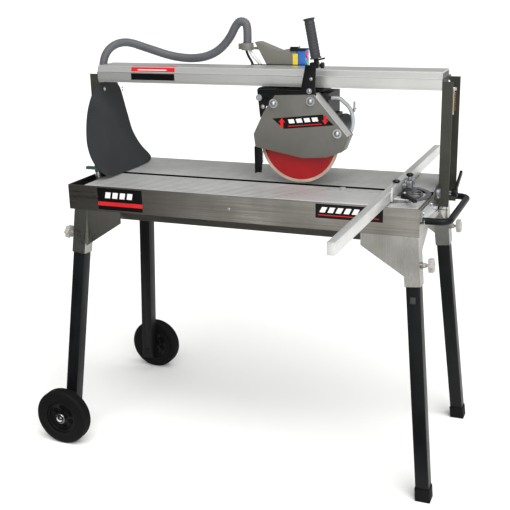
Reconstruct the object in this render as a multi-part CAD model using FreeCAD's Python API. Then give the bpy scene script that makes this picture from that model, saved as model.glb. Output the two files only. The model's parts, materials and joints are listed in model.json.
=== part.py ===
"""Wet tile saw: a rail saw on a water tank with four splayed legs and two wheels.

X runs along the rail, Y to the rear, Z up. The pieces are built about the middle of the
tank, with the floor at Z = 0, and are moved sideways as they are written so that the
origin is the middle of the whole machine's base.
"""
import FreeCAD, Part
import math
import os

V = FreeCAD.Vector

# ---- driving dimensions, mm ----
tank_length = 1134.0
tank_width = 464.0
table_height = 868.0
fascia_height = 80.0        # upright band of the tank
pan_depth = 24.0            # sloped band below it
sheet = 2.0                 # stainless sheet
slot_y = -25.0              # cutting line
slot_width = 24.0
panel_thickness = 4.0
panel_rib = 14.0            # depth of a panel with its ribs
panel_end_gap_left = 56.0   # open end of the tank, where the pump lies
panel_end_gap_right = 8.0
panel_side_gap = 3.0
groove_pitch = 16.0
groove_width = 3.2
groove_depth = 1.6

blade_diameter = 250.0
blade_thickness = 2.2
blade_bore = 25.4
blade_x = 145.0             # blade centre at rest
blade_lift = 6.5            # gap under the blade at rest
rim_width = 9.0             # diamond rim
flange_diameter = 76.0

rail_front = 2.0
rail_depth = 108.0
rail_bottom = table_height + 296.0
rail_height = 53.0
rail_wall = 3.5
rail_slot = 40.0            # opening along the underside
post_sheet = 3.0
post_width = 31.0
post_depth = 125.0
post_foot = table_height - 68.0
post_gap = 1.0              # between a post and its pivot plate
plate_sheet = 3.0           # pivot plates
post_below_rail_top = 21.0
tilt_pin_radius = 9.0
tilt_stud_radius = 6.0
tilt_slot_radius = 62.0
max_tilt = 45.0

leg_tube = 40.0
leg_wall = 2.5
socket_wall = 2.5
socket_length = 146.0
socket_clearance = 0.5
splay = 5.4                 # degrees, outwards both ways
leg_x_right = tank_length / 2 - 26.0
leg_x_left = 40.0 - tank_length / 2
leg_y = tank_width / 2 - 23.5
wheel_diameter = 188.0
wheel_width = 44.0
wheel_gap = 17.0            # between a leg and its wheel
axle_radius = 6.0
hub_diameter = 108.0

motor_diameter = 136.0
motor_length = 205.0
plunge_x, plunge_z = 26.0, table_height + 269.0
pivot_radius = 6.0
guard_front_y = -52.0
guard_back_y = 8.0
guard_sheet = 2.0

fence_x = tank_length / 2 - 105.0
fence_width = 20.0
fence_height = 32.0
fence_near, fence_far = -719.0, 535.0
gauge_y = -75.0             # the fence's pivot
gauge_sheet = 4.0
gauge_radius = 97.0

running = 0.05              # radial clearance of a turning fit
contact_gap = 0.3           # between curved faces on different bodies

# ---- sizes that follow from them ----
table = table_height        # heights over the table are counted from it
half_length = tank_length / 2
half_width = tank_width / 2
fascia_bottom = table_height - fascia_height
pan_bottom = fascia_bottom - pan_depth
blade_radius = blade_diameter / 2
blade_z = table_height + blade_lift + blade_radius
plate_outer = half_length + plate_sheet
web_inner = plate_outer + post_gap
rail_top = rail_bottom + rail_height
rail_back = rail_front + rail_depth
rail_mid = rail_front + rail_depth / 2
post_front = rail_front + 2.0
post_back = post_front + post_depth
post_top = rail_top - post_below_rail_top
post_outer = web_inner + post_width
socket_side = leg_tube + 2 * (socket_wall + socket_clearance)
wheel_radius = wheel_diameter / 2
panel_x0 = -half_length + panel_end_gap_left
panel_x1 = half_length - panel_end_gap_right
fence_bottom = table_height + gauge_sheet + contact_gap
fence_top = fence_bottom + fence_height

nodes = {}


def keep(name, *solids):
    """One solid as it is; several stay separate in one node."""
    nodes[name] = solids[0] if len(solids) == 1 else Part.makeCompound(list(solids))


def block(x0, x1, y0, y1, z0, z1):
    return Part.makeBox(x1 - x0, y1 - y0, z1 - z0, V(x0, y0, z0))


def rod(start, end, radius, inner=0.0):
    """Round bar or tube from one point to another."""
    start, end = V(*start), V(*end)
    way = end - start
    solid = Part.makeCylinder(radius, way.Length, start, way)
    if inner:
        solid = solid.cut(Part.makeCylinder(inner, way.Length, start, way))
    return solid


def prism(points, axis, low, high):
    """A flat outline pushed along one axis. Points are the other two coordinates in X, Y, Z order."""
    place = {"x": lambda a, b: V(low, a, b), "y": lambda a, b: V(a, low, b), "z": lambda a, b: V(a, b, low)}
    way = {"x": V(1, 0, 0), "y": V(0, 1, 0), "z": V(0, 0, 1)}[axis] * (high - low)
    corners = [place[axis](a, b) for a, b in points]
    return Part.Face(Part.makePolygon(corners + [corners[0]])).extrude(way)


def over(points):
    """An outline whose heights are counted from the table's top."""
    return [(along, table_height + height) for along, height in points]


def fuse(first, *rest):
    return first.multiFuse(list(rest)).removeSplitter()


def route(points, share=0.45):
    """Straight runs joined by tangent arcs, each as large as its two runs allow."""
    points = [V(*p) for p in points]
    edges, last, radii = [], points[0], []
    for before, corner, after in zip(points, points[1:], points[2:]):
        a, b = (before - corner), (after - corner)
        reach = share * min(a.Length, b.Length)
        a.normalize()
        b.normalize()
        half_turn = (math.pi - a.getAngle(b)) / 2
        radii.append(reach / math.tan(half_turn))
        start, end = corner + a * reach, corner + b * reach
        middle_way = a + b
        middle_way.normalize()
        middle = corner + middle_way * (radii[-1] / math.cos(half_turn) - radii[-1])
        edges.append(Part.makeLine(last, start))
        edges.append(Part.Arc(start, middle, end).toShape())
        last = end
    edges.append(Part.makeLine(last, points[-1]))
    return Part.Wire(edges), radii


def tube(points, radius, share=0.45, report=None):
    wire, radii = route(points, share)
    first = wire.OrderedVertexes[0].Point
    way = V(*points[1]) - V(*points[0])
    section = Part.Wire(Part.makeCircle(radius, first, way))
    solid = wire.makePipeShell([section], True, False)
    if report:
        sizes = ", ".join(f"{r:.0f}" for r in radii)
        ideal = math.pi * radius ** 2 * wire.Length
        print(f"{report}: length {wire.Length:.0f}, radii {sizes}, volume ratio {solid.Volume / ideal:.4f}")
    return solid


# ---- tank, table and what is fixed to them ----
def make_tank():
    floor_x = half_length - 72.0            # the lower pan stops short of the sockets
    slope = 10.0
    outer = block(-half_length, half_length, -half_width, half_width, fascia_bottom, table_height)
    inner = block(-half_length + sheet, half_length - sheet, -half_width + sheet, half_width - sheet,
                  fascia_bottom + sheet, table_height + 1)

    def pan(inset, low, high):
        side = half_width - 3.0 - inset
        outline = [(-side, high), (side, high), (side - slope, low), (-side + slope, low)]
        return prism(outline, "x", -floor_x + inset, floor_x - inset)

    shell = outer.fuse(pan(0, pan_bottom, fascia_bottom + sheet / 2)).cut(inner)
    shell = shell.cut(pan(sheet, pan_bottom + sheet, fascia_bottom + 2 * sheet))
    ledge_top = table_height - panel_rib
    parts = [shell]
    for side in (-1, 1):
        wall = half_width - sheet
        y0, y1 = sorted((side * wall, side * (wall - 14)))
        parts.append(block(panel_x0 - 6, half_length - sheet, y0, y1, ledge_top - 3, ledge_top))
    for bearer in (panel_x0 + 5, 0.0, panel_x1 - 25):
        parts.append(block(bearer - 10, bearer + 10, -half_width + sheet, half_width - sheet,
                           ledge_top - 18, ledge_top))
    spigot_x, spigot_y = 420.0, 120.0
    parts.append(rod((spigot_x, spigot_y, pan_bottom - 24), (spigot_x, spigot_y, pan_bottom + sheet), 16.0))
    tank = fuse(*parts)
    drain = rod((spigot_x, spigot_y, pan_bottom - 25), (spigot_x, spigot_y, pan_bottom + sheet + 1), 13.0)
    keep("tank_pan", tank.cut(drain))
    head = rod((spigot_x, spigot_y, pan_bottom + sheet), (spigot_x, spigot_y, pan_bottom + 8), 17.0)
    plug = rod((spigot_x, spigot_y, pan_bottom - 12), (spigot_x, spigot_y, pan_bottom + 3), 13.0)
    keep("drain_plug", head.fuse(plug).removeSplitter())


def make_panel(name, y0, y1, slot_edge):
    """Extruded panel with grooves along its top and ribs under it, clear of the cutting line."""
    top = table_height
    parts = [block(panel_x0, panel_x1, y0, y1, top - panel_thickness, top)]
    clear = panel_rib - 2.0
    far = y0 if slot_edge == y1 else y1
    step = 34.0
    way = 1 if far > slot_edge else -1
    count = int((abs(far - slot_edge) - clear - 6) // step)
    for index in range(count + 1):
        a = slot_edge + way * (clear + index * step)
        rib = sorted((a, a + way * 4))
        parts.append(block(panel_x0, panel_x1, rib[0], rib[1], top - panel_rib, top - 1))
    edge = sorted((far, far - way * 5))
    parts.append(block(panel_x0, panel_x1, edge[0], edge[1], top - panel_rib, top - 1))
    panel = fuse(*parts)
    grooves = []
    for index in range(1, int(abs(far - slot_edge) // groove_pitch)):
        y = slot_edge + way * index * groove_pitch
        grooves.append(block(panel_x0 - 1, panel_x1 + 1, y - groove_width / 2, y + groove_width / 2,
                             top - groove_depth, top + 1))
    keep(name, panel.cut(Part.makeCompound(grooves)))


def make_end_fittings():
    stud_y, stud_z = stud_place()
    plates = []
    for side in (-1, 1):
        def x(value):
            return side * value
        outline = [(-215, table_height - 6), (-215, table_height - 40), (150, table_height - 66),
                   (150, table_height - 6), (slot_y + 22, table_height - 6), (slot_y + 22, table_height + 14),
                   (slot_y + 12, table_height + 22), (slot_y - 12, table_height + 22),
                   (slot_y - 22, table_height + 14), (slot_y - 22, table_height - 6)]
        low, high = sorted((x(half_length), x(plate_outer)))
        plate = prism(outline, "x", low, high)
        pin = rod((x(plate_outer - 1), slot_y, table_height),
                  (x(web_inner + post_sheet + 1), slot_y, table_height), tilt_pin_radius)
        head = rod((x(web_inner + post_sheet + contact_gap), slot_y, table_height),
                   (x(web_inner + post_sheet + 8), slot_y, table_height), tilt_pin_radius + 6)
        parts = [plate, pin, head]
        if side > 0:
            parts.append(rod((plate_outer - 1, stud_y, stud_z), (post_outer + 18, stud_y, stud_z),
                             tilt_stud_radius))
        plates.append(fuse(*parts))
    keep("pivot_plates", *plates)
    reach, front, back, height, bar = 69.0, -168.0, 150.0, table_height - 48.0, 10.0
    wire_points = [(plate_outer, front, height), (half_length + reach, front, height),
                   (half_length + reach, back, height), (plate_outer, back, height)]
    keep("carry_handle", tube(wire_points, bar))


def stud_place():
    """The tilt lock's stud, on its circle about the tilt pin."""
    angle = math.radians(-10.0)
    return slot_y + tilt_slot_radius * math.cos(angle), table_height + tilt_slot_radius * math.sin(angle)


def make_pump():
    x0 = -half_length + 12
    y0 = 96.0
    body = block(x0, x0 + 62, y0, y0 + 76, fascia_bottom + sheet, fascia_bottom + 46)
    spout = rod((x0 + 31, y0 + 20, fascia_bottom + 46), (x0 + 31, y0 + 20, fascia_bottom + 58), 8)
    keep("water_pump", body.fuse(spout).removeSplitter())
    valve_y = -118.0
    valve_x = x0 + 31
    top = table_height + 4
    points = [(x0 + 31, y0 + 20, fascia_bottom + 58), (x0 + 31, y0 + 20, fascia_bottom + 74),
              (x0 + 29, y0 - 20, fascia_bottom + 70), (valve_x - 1, valve_y + 70, fascia_bottom + 22),
              (valve_x, valve_y, fascia_bottom + 20), (valve_x, valve_y, top - 34)]
    keep("water_hose", tube(points, 6.5, report="water hose"))
    body = rod((valve_x, valve_y, top - 34), (valve_x, valve_y, top + 16), 8)
    branch = rod((valve_x, valve_y, top - 4), (valve_x + 11, valve_y, top - 4), 6)
    flange = block(valve_x - 18, valve_x + 7, valve_y - 12, valve_y + 12, top - 30, top - 26)
    bracket = block(-half_length + sheet, valve_x, valve_y - 9, valve_y + 9, top - 26, top - 23)
    keep("valve_body", fuse(body, branch, flange, bracket))
    lever = fuse(rod((valve_x, valve_y, top + 16 + contact_gap), (valve_x, valve_y, top + 36), 10),
                 block(valve_x - 40, valve_x + 6, valve_y - 7, valve_y + 7, top + 23, top + 32))
    keep("valve_lever", lever)
    return valve_x, valve_y


# ---- legs ----
def leg_frame(side_x, side_y):
    """Placement whose local -Z runs down the leg from the tank's underside."""
    slope = math.tan(math.radians(splay))
    top = V(leg_x_right if side_x > 0 else leg_x_left, side_y * leg_y, fascia_bottom)
    way = V(side_x * slope, side_y * slope, -1)
    return FreeCAD.Placement(top, FreeCAD.Rotation(V(0, 0, -1), way)), way


def square_tube(side, wall, z0, z1):
    half = side / 2
    outer = block(-half, half, -half, half, z0, z1)
    inner = block(-half + wall, half - wall, -half + wall, half - wall, z0 - 1, z1 + 1)
    return outer.cut(inner)


def make_legs():
    leg_names = {(-1, -1): "front_left", (1, -1): "front_right", (1, 1): "rear_right", (-1, 1): "rear_left"}
    sockets = []
    above, below = fascia_bottom, -50.0
    room = block(-900, 900, -700, 700, 0, above)
    for (side_x, side_y), name in leg_names.items():
        frame, way = leg_frame(side_x, side_y)
        socket = square_tube(socket_side, socket_wall, -socket_length, 30)
        knob_z = -88.0
        hole = rod((0, 0, knob_z), (side_x * 60, 0, knob_z), 4.0 + running)
        boss = rod((side_x * (socket_side / 2 - 1), 0, knob_z), (side_x * (socket_side / 2 + 5), 0, knob_z),
                   9.0)
        socket = socket.fuse(boss).cut(hole)
        socket.Placement = frame
        socket = socket.common(room)
        x, y = frame.Base.x, frame.Base.y
        half = socket_side / 2
        reach = 120.0
        y_face = y + side_y * half
        y0, y1 = sorted((y_face, y_face - side_y * 3))
        inner = x - side_x * (half - 4)
        tip = x - side_x * (half + reach)
        low = inner + side_x * 10
        gusset = prism([(inner, above), (tip, above), (tip, above - 36), (low, above - 122)], "y", y0, y1)
        x_face = x + side_x * half
        x0, x1 = sorted((x_face, x_face - side_x * 3))
        y_in = y - side_y * (half - 4)
        end = prism([(y_in, above), (y_in - side_y * 96, above), (y_in - side_y * 90, above - 14),
                     (y_in - side_y * 10, above - 60), (y_in, above - 60)], "x", x0, x1)
        bore = block(-leg_tube / 2 - socket_clearance, leg_tube / 2 + socket_clearance,
                     -leg_tube / 2 - socket_clearance, leg_tube / 2 + socket_clearance, -260, 40)
        bore.Placement = frame
        sockets.append(fuse(socket, gusset.cut(bore), end.cut(bore)))

        screw = rod((side_x * (leg_tube / 2 + contact_gap), 0, knob_z), (side_x * (half + 24), 0, knob_z), 4.0)
        collar = rod((side_x * (half + 5 + contact_gap), 0, knob_z), (side_x * (half + 14), 0, knob_z), 8.0)
        knob = fuse(screw, collar, star_head(side_x, half + 22, knob_z))
        knob.Placement = frame
        keep(f"knob_{name}", knob)

        wheeled = side_x < 0
        foot_z = wheel_radius - 34 if wheeled else 6.0
        length = fascia_bottom + 200
        leg = square_tube(leg_tube, leg_wall, -length, -8)
        leg.Placement = frame
        leg = leg.common(block(-900, 900, -700, 700, foot_z, above))
        if wheeled:
            keep(f"leg_{name}", *with_axle(leg, frame, way, side_y, name))
        else:
            keep(f"leg_{name}", leg)
            shoe_side = leg_tube + 5
            shoe = block(-shoe_side / 2, shoe_side / 2, -shoe_side / 2, shoe_side / 2, -length, 0)
            shoe.Placement = frame
            shoe = shoe.common(block(-900, 900, -700, 700, 0, 40))
            hollow = block(-leg_tube / 2, leg_tube / 2, -leg_tube / 2, leg_tube / 2, -length, 0)
            hollow.Placement = frame
            keep(f"foot_{name}", shoe.cut(hollow.common(block(-900, 900, -700, 700, 6, 60))))
    keep("leg_sockets", *sockets)


def star_head(side_x, start, z):
    """Six-lobed clamp knob head, its axis along X."""
    hub = rod((side_x * start, 0, z), (side_x * (start + 14), 0, z), 17.0)
    lobes = []
    for index in range(6):
        turn = math.radians(60 * index)
        y, dz = 15.5 * math.cos(turn), 15.5 * math.sin(turn)
        lobes.append(rod((side_x * start, y, z + dz), (side_x * (start + 14), y, z + dz), 6.0))
    return hub.multiFuse(lobes)


def axle_place(side_y):
    slope = math.tan(math.radians(splay))
    drop = fascia_bottom - wheel_radius
    face = side_y * (leg_y + drop * slope + leg_tube / 2 / math.cos(math.radians(splay)))
    return leg_x_left - drop * slope, face


def with_axle(leg, frame, way, side_y, name):
    x, face = axle_place(side_y)
    inner = face - side_y * (leg_tube + 2)
    hub_in = face + side_y * wheel_gap
    hub_out = hub_in + side_y * wheel_width
    z = wheel_radius
    axle = rod((x, inner, z), (x, hub_out + side_y * 6, z), axle_radius)
    collar = rod((x, face + side_y * 2, z), (x, hub_in - side_y * contact_gap, z), 11.0)
    cap = rod((x, hub_out + side_y * contact_gap, z), (x, hub_out + side_y * 7, z), 14.0)
    leg = leg.cut(rod((x, inner - side_y * 10, z), (x, face + side_y * 10, z), axle_radius))
    tyre_r, hub_r = wheel_radius, hub_diameter / 2
    y0, y1 = hub_in, hub_out
    tyre = rod((x, y0, z), (x, y1, z), tyre_r, hub_r)
    soft = tyre.makeFillet(9.0, [e for e in tyre.Edges if abs(e.BoundBox.ZLength - 2 * tyre_r) < 0.5
                                 and e.BoundBox.YLength < 0.5])
    hub = wheel_hub(x, z, y0 + side_y * 5, y1 - side_y * 5, hub_r, side_y)
    keep(f"tyre_{name}", soft)
    keep(f"wheel_{name}", hub)
    return [leg, fuse(axle, collar, cap)]


def wheel_hub(x, z, y0, y1, radius, side_y):
    """Moulded hub: ring, web with six windows, and a bush on the axle."""
    ring = rod((x, y0, z), (x, y1, z), radius, radius - 7)
    middle = (y0 + y1) / 2
    web = rod((x, middle - 4, z), (x, middle + 4, z), radius - 6)
    for index in range(6):
        turn = math.radians(60 * index + 30)
        px, pz = x + 31 * math.cos(turn), z + 31 * math.sin(turn)
        web = web.cut(rod((px, middle - 6, pz), (px, middle + 6, pz), 10.5))
    bush = rod((x, y0 - side_y * 5, z), (x, y1 + side_y * 5, z), 15.0)
    bore = rod((x, y0 - side_y * 8, z), (x, y1 + side_y * 8, z), axle_radius + running)
    return fuse(ring, web, bush).cut(bore)


# ---- bridge: posts, rail, curtain ----
def make_bridge():
    for side, name in ((-1, "post_left"), (1, "post_right")):
        def span(a, b):
            return sorted((side * a, side * b))
        x0, x1 = span(web_inner, web_inner + post_sheet)
        outline = [(post_front, post_foot + 10), (post_front + 10, post_foot), (post_back - 10, post_foot),
                   (post_back, post_foot + 10), (post_back, post_top - 4), (post_back - 7, post_top + 3),
                   (post_front, post_top)]
        web = prism(outline, "x", x0, x1)
        lug = fuse(block(x0, x1, slot_y, post_front + 2, table_height - 24, table_height + 24),
                   rod((x0, slot_y, table_height), (x1, slot_y, table_height), 24.0))
        f0, f1 = span(web_inner, post_outer)
        front = block(f0, f1, post_front, post_front + post_sheet, post_foot + 10, post_top - 6)
        back = block(f0, f1, post_back - post_sheet, post_back, post_foot + 10, post_top - 4)
        post = fuse(web, lug, front, back)
        post = post.cut(rod((x0 - 5, slot_y, table_height), (x1 + 5, slot_y, table_height),
                            tilt_pin_radius + running))
        if side > 0:
            post = post.cut(tilt_slot(x0 - 5, post_outer + 5))
        keep(name, post)
    make_rail()
    make_curtain()
    make_conduit()


def tilt_slot(x0, x1):
    """Arc slot that the lock stud runs in as the bridge tilts."""
    width = tilt_stud_radius + 0.6
    rest = -10.0
    pieces = []
    steps = 9
    for index in range(steps + 1):
        angle = math.radians(rest + 1.5 - (max_tilt + 3.0) * index / steps)
        y = slot_y + tilt_slot_radius * math.cos(angle)
        z = table_height + tilt_slot_radius * math.sin(angle)
        pieces.append(rod((x0, y, z), (x1, y, z), width))
    ring = rod((x0, slot_y, table_height), (x1, slot_y, table_height), tilt_slot_radius + width,
               tilt_slot_radius - width)
    far = tilt_slot_radius * 2
    wedge = [(slot_y, table_height)]
    for angle in (rest + 1.5, rest - max_tilt / 2, rest - max_tilt - 1.5):
        turn = math.radians(angle)
        wedge.append((slot_y + far * math.cos(turn), table_height + far * math.sin(turn)))
    return ring.common(prism(wedge, "x", x0, x1)).multiFuse([pieces[0], pieces[-1]])


def rail_outline(inset):
    low = rail_bottom + inset
    high = rail_top - inset
    front = rail_front + inset
    back = rail_back - inset
    return [(front + 3, low), (front + 3, rail_bottom + 8), (front, rail_bottom + 8), (front, rail_bottom + 34),
            (front + 5, high - 2), (front + 7, high), (back, high), (back, low)]


def make_rail():
    half = web_inner
    rail = prism(rail_outline(0), "x", -half, half)
    inner = rail_outline(rail_wall)
    rail = rail.cut(prism(inner, "x", -half - 1, half + 1))
    slot = block(-half - 1, half + 1, rail_mid - rail_slot / 2, rail_mid + rail_slot / 2,
                 rail_bottom - 1, rail_bottom + rail_wall + 1)
    bead = rod((-half, rail_front + 1, rail_bottom + 34), (half, rail_front + 1, rail_bottom + 34), 2.0)
    keep("rail", rail.cut(slot).fuse(bead.cut(prism(inner, "x", -half, half))).removeSplitter())


curtain_top_x = -web_inner + 4.0
curtain_low_x = 97.0 - half_length
curtain_sheet = 4.0


def make_curtain():
    """Rubber splash curtain: bell-shaped, hung from the left post and leaning in over the table."""
    low, high = table_height + 3.0, rail_bottom - 6.0
    lean = (curtain_low_x - curtain_top_x) / (high - low)
    outline = [(-12, high), (-66, high - 37), (-111, high - 78), (-147, high - 121), (-179, high - 168),
               (-188, low + 82), (-182, low + 54), (-162, low + 26), (-121, low), (130, low), (150, low + 11),
               (155, low + 21), (126, low + 62), (114, high - 171), (122, high - 128), (136, high)]
    slab = prism(outline, "x", 0, curtain_sheet)
    shear = FreeCAD.Matrix()
    shear.A13 = -lean
    shear.A14 = curtain_top_x + lean * high
    keep("curtain", slab.transformGeometry(shear))


conduit_radius = 14.0
conduit_y = rail_back + conduit_radius + 4.0
conduit_points = [(x, y, table_height + height) for x, y, height in (
    (-web_inner - 18, 60, 172), (-web_inner - 18, 62, 282), (-web_inner - 21, 82, 384),
    (35 - web_inner, conduit_y - 8, 424), (-440, conduit_y, 394), (-350, conduit_y + 2, 368),
    (-262, conduit_y, 363), (-196, conduit_y + 1, 382), (-147, conduit_y, 424), (-116.4, conduit_y, 480.8),
    (-95.2, conduit_y, 484.5), (-79.2, conduit_y, 470.1), (-83, conduit_y, 416))]


def make_conduit():
    keep("conduit", tube(conduit_points, conduit_radius, report="conduit"))


# ---- carriage ----
carriage_x = 95.0
roller_radius = 14.0
roller_axle = 5.0
roller_spread = 64.0
tread_z = rail_bottom + rail_wall


def make_carriage():
    deck_top = rail_bottom - 4.0
    deck_low = deck_top - 8.0
    deck = block(4, 212, rail_front, rail_back + 8, deck_low, deck_top)
    cheek = prism([(6, deck_top), (70, deck_top)] + over([(60, 267), (50, 251), (12, 251)]), "y", -14, -8)
    cheek_bridge = block(6, 70, -14, rail_front + 1, deck_low, deck_top)
    rear = block(-66, 130, rail_back + 2, rail_back + 6, deck_low, rail_top + 2)
    foot = block(4, 130, rail_back, rail_back + 6, deck_low, deck_top)
    axle_z = tread_z + roller_radius + contact_gap
    hangers = []
    for y in (rail_mid - 10, rail_mid + 4):
        hangers.append(block(carriage_x - roller_spread - 14, carriage_x + roller_spread + 14, y, y + 6,
                             deck_low, axle_z + 12))
    plate = fuse(deck, cheek, cheek_bridge, rear, foot, *hangers)
    bores = [rod((carriage_x + s * roller_spread, rail_mid - 30, axle_z),
                 (carriage_x + s * roller_spread, rail_mid + 30, axle_z), roller_axle + running) for s in (-1, 1)]
    bores.append(rod((plunge_x, -30, plunge_z), (plunge_x, 0, plunge_z), pivot_radius))
    keep("carriage_plate", plate.cut(Part.makeCompound(bores)))
    inner_y0, inner_y1 = rail_front + 12, rail_back - 12
    for side, name in ((-1, "left"), (1, "right")):
        x = carriage_x + side * roller_spread
        axle = rod((x, inner_y0, axle_z), (x, inner_y1, axle_z), roller_axle)
        wheels = [rod((x, y, axle_z), (x, y + 16, axle_z), roller_radius) for y in (inner_y0, inner_y1 - 16)]
        keep(f"rollers_{name}", fuse(axle, *wheels))
    bolt = fuse(rod((plunge_x, -51, plunge_z), (plunge_x, -8, plunge_z), pivot_radius),
                rod((plunge_x, -57, plunge_z), (plunge_x, -50.2, plunge_z), pivot_radius + 4),
                rod((plunge_x, -8, plunge_z), (plunge_x, -1, plunge_z), pivot_radius + 4),
                rod((plunge_x, -43, plunge_z), (plunge_x, -14, plunge_z), pivot_radius + 3))
    keep("pivot_bolt", bolt)
    make_switch(rail_back + 6)


def make_switch(y0):
    """Sheet bracket standing behind the rail, with the switch on its right-hand face."""
    y1 = y0 + 44
    outside = over([(-10, 338), (-14, 350), (-53, 420), (-41, 420), (30, 393), (72, 402), (86, 405), (86, 338)])
    inside = over([(-8, 340), (-12, 351), (-48, 416), (-41, 417), (30, 390), (72, 399), (84, 402), (84, 340)])
    shell = prism(outside, "y", y0, y1).cut(prism(inside, "y", y0 + 2, y1 + 1))
    body = block(86, 116, y0 + 2, y1 - 4, table + 340, table + 394)
    wells = [rod((108, y0 + 20, z), (120, y0 + 20, z), 9.3) for z in (table + 354, table + 380)]
    keep("switch_block", body.cut(Part.makeCompound(wells)))
    for name, z in (("start_button", table + 354), ("stop_button", table + 380)):
        keep(name, rod((111, y0 + 20, z), (119, y0 + 20, z), 9.0))
    clamp_z = table + 402
    x, y = conduit_points[-1][0], conduit_points[-1][1]
    sleeve = rod((x, y, clamp_z - 8), (x, y, clamp_z + 14), 20)
    sleeve = sleeve.cut(rod((x, y, clamp_z - 10), (x, y, clamp_z + 20), conduit_radius + contact_gap))
    strap = block(x + 17, -38, y - 4, y + 4, clamp_z - 6, clamp_z + 2)
    ear = block(x - 30, x - 17, y - 4, y + 4, clamp_z - 6, clamp_z + 12)
    keep("switch_bracket", fuse(shell, sleeve, ear, strap))
    cables = []
    for dx, radius, low_x in ((4.5, 5.5, -30), (-7.0, 4.0, -60)):
        points = [(x + dx, y, table + 415), (x + dx, y, table + 388), (low_x, y, table + 344),
                  (low_x + 3, y, table + 304)]
        cables.append(tube(points, radius))
    keep("switch_cables", *cables)


# ---- cutting head ----
guard_outline = over([(76, 277), (199, 282), (306, 158), (287, 112), (240, 94), (165, 88), (80, 103),
                      (9, 116), (4, 156), (38, 224)])


def inset_outline(points, distance):
    """The same outline, moved inwards by a sheet's thickness."""
    wire = Part.makePolygon([V(a, 0, b) for a, b in points] + [V(points[0][0], 0, points[0][1])])
    inner = wire.makeOffset2D(-distance, 2)
    return [(v.Point.x, v.Point.z) for v in inner.OrderedVertexes]


def make_guard():
    y0, y1 = guard_front_y, guard_back_y - guard_sheet
    solid = prism(guard_outline, "y", y0, y1)
    hollow = prism(inset_outline(guard_outline, guard_sheet), "y", y0 + guard_sheet, y1 + 1)
    mouth = prism(over([(8, 122), (8, 72), (284, 72), (284, 112), (240, 100), (165, 94), (80, 109)]), "y",
                  y0 + guard_sheet, y1 + 1)
    arm_room = block(14, 206, y0 + guard_sheet, y0 + guard_sheet + 6.5, table + 194, table + 302)
    keep("guard_front", solid.cut(hollow).cut(mouth).cut(arm_room))
    back = prism(guard_outline, "y", guard_back_y - guard_sheet, guard_back_y)
    shaft_room = rod((blade_x, -10, blade_z), (blade_x, 30, blade_z), 22.0)
    keep("guard_rear", back.cut(shaft_room))
    nuts = []
    for x, z in ((72, table + 252), (190, table + 262), (274, table + 168)):
        room = block(x - 12, x + 12, y0 - 20, y0 - 3, z - 12, z + 12)
        nut = Part.makeSphere(9.0, V(x, y0 - 3, z)).common(room)
        nuts.append(fuse(nut, rod((x, y0 - 4, z), (x, y0, z), 9.0), rod((x, y0 - 2, z), (x, y0, z), 14.0)))
    keep("guard_nuts", *nuts)


def make_head():
    make_guard()
    arm_y0 = guard_front_y + guard_sheet
    arm_y1 = arm_y0 + 6
    plate = prism(over([(18, 293), (158, 293), (174, 368), (206, 368), (203, 293), (206, 282), (198, 244),
                        (72, 236), (46, 244), (37, 210), (26, 208)]), "y", arm_y0, arm_y1)
    bore = rod((plunge_x, arm_y0 - 2, plunge_z), (plunge_x, arm_y1 + 2, plunge_z), pivot_radius + running)
    tie = block(84, 190, arm_y1 - 1, guard_back_y - guard_sheet, table + 268, table + 274)
    mid = (arm_y0 + arm_y1) / 2
    grip_low, grip_high = V(206, mid, table + 387), V(184.5, mid, table + 503)
    way = (grip_high - grip_low).normalize()
    stem = Part.makeCylinder(7.5, 120, grip_low - way * 12, way)
    boss = block(190, 214, mid - 11, mid + 11, table + 360, table + 376)
    keep("head_arm", fuse(plate, tie, stem, boss).cut(bore))
    grip = Part.makeCylinder(15.0, 118, grip_low, way)
    caps = [Part.makeCylinder(17.5, 4, grip_low, way), Part.makeCylinder(17.5, 4, grip_low + way * 114, way)]
    keep("grip", fuse(grip, *caps).cut(stem))
    knob_z = table + 368
    keep("plunge_knob", fuse(rod((218.3, mid, knob_z), (221, mid, knob_z), 5.0),
                             rod((221, mid, knob_z), (231, mid, knob_z), 9.0)))
    flap_top = table + 116
    flap = block(4, 8, guard_front_y + 4, guard_back_y - 4, table + 32, flap_top)
    keep("splash_flap", flap)
    make_motor()
    tube_points = [(mount_x + 1.8, 28, table + 262), (252, 34, table + 264), (288, 52, table + 228),
                   (297, 44, table + 178), (280, 38, table + 140), (276, guard_back_y + 1.6, table + 136)]
    keep("water_tube", tube(tube_points, 6.0, report="water tube"))
    tap = fuse(rod((tap_x, 60.6, tap_z), (tap_x, 74, tap_z), 5.0),
               block(tap_x - 2.5, tap_x + 2.5, 62, 72, tap_z - 8, tap_z + 24))
    keep("water_tap", tap)


mount_x = 228.0
tap_x, tap_z = 292.6, table + 224


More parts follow.
